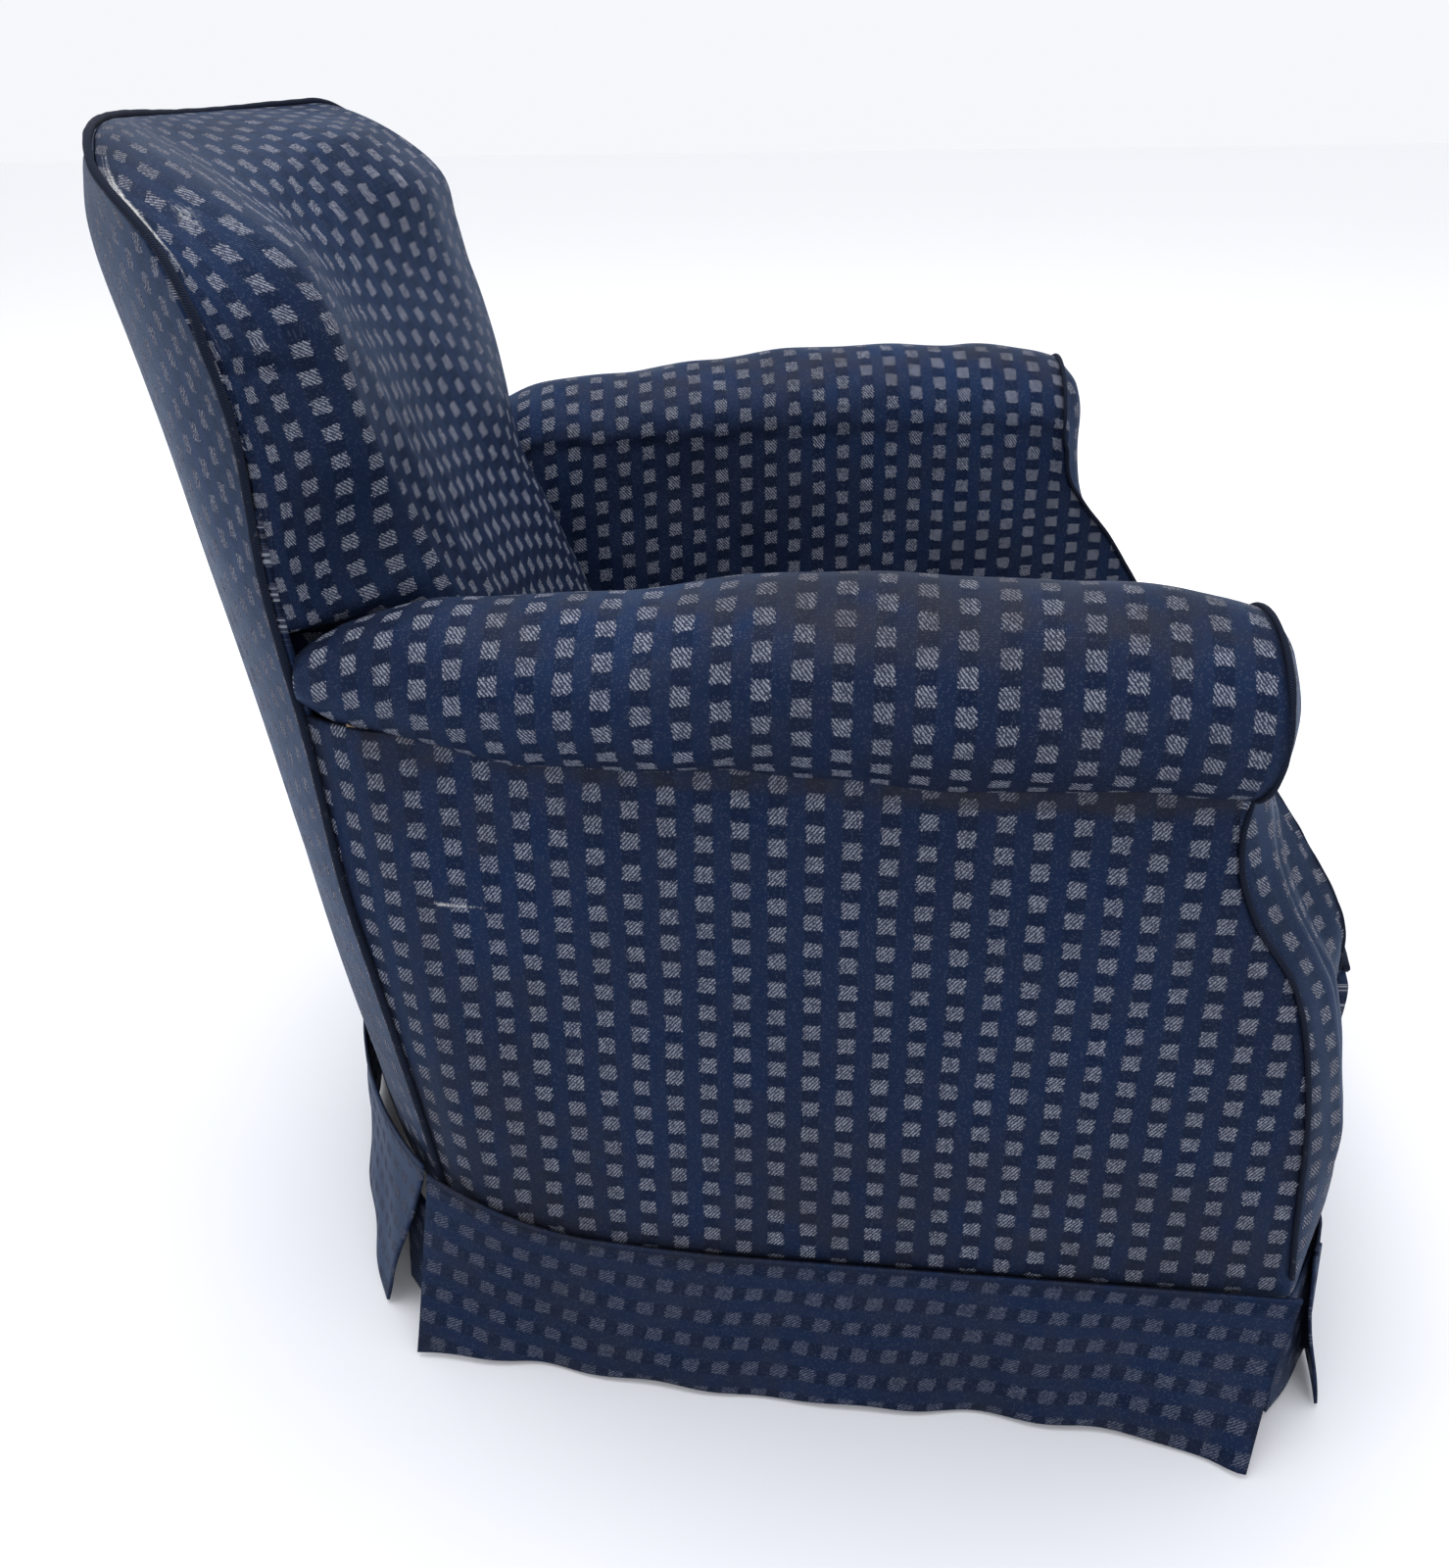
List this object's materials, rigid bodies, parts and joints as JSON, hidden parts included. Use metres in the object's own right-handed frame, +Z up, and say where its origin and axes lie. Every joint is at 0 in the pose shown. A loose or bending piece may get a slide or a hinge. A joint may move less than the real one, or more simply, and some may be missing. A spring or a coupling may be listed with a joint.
{
  "type": "upholstered tub armchair",
  "caption": "Low tub armchair with scroll arms, wrap-over back, sagging sprung seat and a hanging skirt, in worn square-patterned cloth over a wooden frame.",
  "frame": {"origin": "on the floor, under the middle of the chair's overall width and depth", "axes": "+Z up, -Y the way the chair faces, +X the sitter's left"},
  "size_m": [0.7956, 0.9002, 0.8593],
  "materials": {
    "navy_cloth": "satin woven cloth, pale squares on navy, worn and dusty",
    "piping_cord": "dark cloth-covered cord, dull",
    "beech": "bare, aged",
    "glide_steel": "plated, scuffed",
    "jute_web": "coarse woven jute",
    "spring_steel": "lacquered wire, tarnished",
    "hessian": "coarse plain weave"
  },
  "bodies": {
    "root": {"seat_pad": "navy_cloth", "seat_border": "navy_cloth", "arm_pad_left": "navy_cloth", "arm_pad_right": "navy_cloth", "outside_arm_left": "navy_cloth", "outside_arm_right": "navy_cloth", "arm_facing_left": "navy_cloth", "arm_facing_right": "navy_cloth", "back_pad": "navy_cloth", "outside_back": "navy_cloth", "skirt_left": "navy_cloth", "skirt_right": "navy_cloth", "skirt_front": "navy_cloth", "skirt_back": "navy_cloth", "skirt_flap_front_left": "navy_cloth", "skirt_flap_front_right": "navy_cloth", "skirt_flap_rear_left": "navy_cloth", "skirt_flap_rear_right": "navy_cloth", "seat_piping": "piping_cord", "arm_piping_left": "piping_cord", "arm_piping_right": "piping_cord", "back_piping": "piping_cord", "leg_front_left": "beech", "leg_front_right": "beech", "leg_rear_left": "beech", "leg_rear_right": "beech", "seat_rail_front": "beech", "seat_rail_rear": "beech", "seat_rail_left": "beech", "seat_rail_right": "beech", "corner_block_front_left": "beech", "corner_block_front_right": "beech", "corner_block_rear_left": "beech", "corner_block_rear_right": "beech", "arm_post_left": "beech", "arm_post_right": "beech", "arm_rail_left": "beech", "arm_rail_right": "beech", "tacking_rail_left": "beech", "tacking_rail_right": "beech", "back_post_left": "beech", "back_post_right": "beech", "back_top_rail": "beech", "back_lower_rail": "beech", "glide_front_left": "glide_steel", "glide_front_right": "glide_steel", "glide_rear_left": "glide_steel", "glide_rear_right": "glide_steel", "webbing_long_1": "jute_web", "webbing_long_2": "jute_web", "webbing_long_3": "jute_web", "webbing_cross_1": "jute_web", "webbing_cross_2": "jute_web", "seat_spring_1": "spring_steel", "seat_spring_2": "spring_steel", "seat_spring_3": "spring_steel", "seat_spring_4": "spring_steel", "seat_spring_5": "spring_steel", "seat_spring_6": "spring_steel", "spring_canvas": "hessian"}
  },
  "joints": []
}
